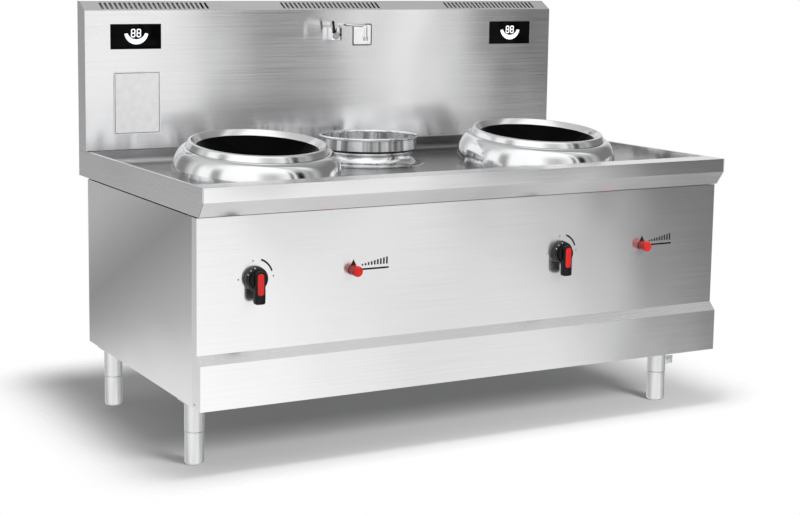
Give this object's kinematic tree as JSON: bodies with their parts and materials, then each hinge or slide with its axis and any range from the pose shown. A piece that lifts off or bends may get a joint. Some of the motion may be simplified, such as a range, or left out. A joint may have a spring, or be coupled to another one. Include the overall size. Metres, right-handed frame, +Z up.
{
  "type": "wok range",
  "caption": "Free-standing stainless wok range: leaning wok rings with black glass bowls, a centre well under a swivel tap, a splashback and a cabinet on adjustable feet.",
  "frame": {"origin": "on the floor under the middle of the range's bounding box", "axes": "+X to the cook's right, +Y from the cook to the splashback, +Z up"},
  "size_m": [1.8, 1.05, 1.295],
  "materials": {
    "brushed": "brushed stainless steel",
    "frame_steel": "mill finish",
    "polished": "mirror polished stainless steel",
    "black_glass": "glossy black glass ceramic",
    "chrome": "bright chrome plate",
    "black_plastic": "satin black",
    "red_plastic": "glossy red",
    "module_grey": "matt grey casing",
    "coil_copper": "enamelled copper wire in a carrier pan"
  },
  "bodies": {
    "range": {"worktop_tray": "brushed", "end_plate_left": "brushed", "end_plate_right": "brushed", "side_panel_left": "brushed", "side_panel_right": "brushed", "back_panel": "brushed", "front_fascia": "brushed", "splashback_shell": "brushed", "splashback_rear_cover": "brushed", "leg_tube_front_left": "brushed", "leg_tube_front_right": "brushed", "leg_tube_rear_left": "brushed", "leg_tube_rear_right": "brushed", "blank_data_plate": "brushed", "blank_notice_plate": "brushed", "supply_pipe": "brushed", "floor_panel": "frame_steel", "welded_frame": "frame_steel", "slide_rail_left": "frame_steel", "slide_rail_right": "frame_steel", "wok_dome_left": "polished", "wok_dome_right": "polished", "wok_collar_left": "polished", "wok_collar_right": "polished", "well_band": "polished", "well_pedestal": "polished", "well_basin": "polished", "wok_bowl_left": "black_glass", "wok_bowl_right": "black_glass", "display_window_left": "black_glass", "display_window_right": "black_glass", "tap_body": "chrome", "cable_gland": "black_plastic", "switch_collar_left": "black_plastic", "switch_collar_right": "black_plastic", "power_module_left": "module_grey", "power_module_right": "module_grey", "display_module_left": "module_grey", "display_module_right": "module_grey", "switch_block_left": "module_grey", "switch_block_right": "module_grey", "coil_assembly_left": "coil_copper", "coil_assembly_right": "coil_copper"},
    "switch_left": {"switch_handle_left": "black_plastic", "switch_insert_left": "red_plastic"},
    "slide_left": {"slide_knob_left": "red_plastic", "slide_carriage_left": "black_plastic"},
    "fan_left": {"fan_rotor_left": "black_plastic"},
    "switch_right": {"switch_handle_right": "black_plastic", "switch_insert_right": "red_plastic"},
    "slide_right": {"slide_knob_right": "red_plastic", "slide_carriage_right": "black_plastic"},
    "fan_right": {"fan_rotor_right": "black_plastic"},
    "lever": {"tap_lever": "black_plastic"},
    "spout": {"tap_spout": "chrome", "spout_nozzle": "chrome"},
    "foot_front_left": {"foot_front_left": "brushed"},
    "foot_front_right": {"foot_front_right": "brushed"},
    "foot_rear_left": {"foot_rear_left": "brushed"},
    "foot_rear_right": {"foot_rear_right": "brushed"}
  },
  "joints": [
    {"name": "switch_turn_left", "type": "hinge", "parent": "range", "child": "switch_left", "pos_m": [-0.725, -0.4835, 0.544], "axis": [0, 1, 0], "range_deg": [0, 270]},
    {"name": "slide_travel_left", "type": "slide", "parent": "range", "child": "slide_left", "axis": [1, 0, 0], "range_m": [0, 0.11]},
    {"name": "fan_spin_left", "type": "hinge", "parent": "range", "child": "fan_left", "pos_m": [-0.515, -0.033, 0.2594], "axis": [0, 1, 0], "continuous": true},
    {"name": "switch_turn_right", "type": "hinge", "parent": "range", "child": "switch_right", "pos_m": [0.305, -0.4835, 0.544], "axis": [0, 1, 0], "range_deg": [0, 270]},
    {"name": "slide_travel_right", "type": "slide", "parent": "range", "child": "slide_right", "axis": [1, 0, 0], "range_m": [0, 0.11]},
    {"name": "fan_spin_right", "type": "hinge", "parent": "range", "child": "fan_right", "pos_m": [0.515, -0.033, 0.2594], "axis": [0, 1, 0], "continuous": true},
    {"name": "lever_turn", "type": "hinge", "parent": "range", "child": "lever", "pos_m": [-0.02, 0.4065, 1.191], "axis": [0, -1, 0], "range_deg": [0, 90]},
    {"name": "spout_swing", "type": "hinge", "parent": "range", "child": "spout", "pos_m": [0.003, 0.423, 1.215], "axis": [0, 0, 1], "range_deg": [-15, 75]},
    {"name": "foot_screw_front_left", "type": "slide", "parent": "range", "child": "foot_front_left", "axis": [0, 0, -1], "range_m": [0, 0.03]},
    {"name": "foot_screw_front_right", "type": "slide", "parent": "range", "child": "foot_front_right", "axis": [0, 0, -1], "range_m": [0, 0.03]},
    {"name": "foot_screw_rear_left", "type": "slide", "parent": "range", "child": "foot_rear_left", "axis": [0, 0, -1], "range_m": [0, 0.03]},
    {"name": "foot_screw_rear_right", "type": "slide", "parent": "range", "child": "foot_rear_right", "axis": [0, 0, -1], "range_m": [0, 0.03]}
  ]
}
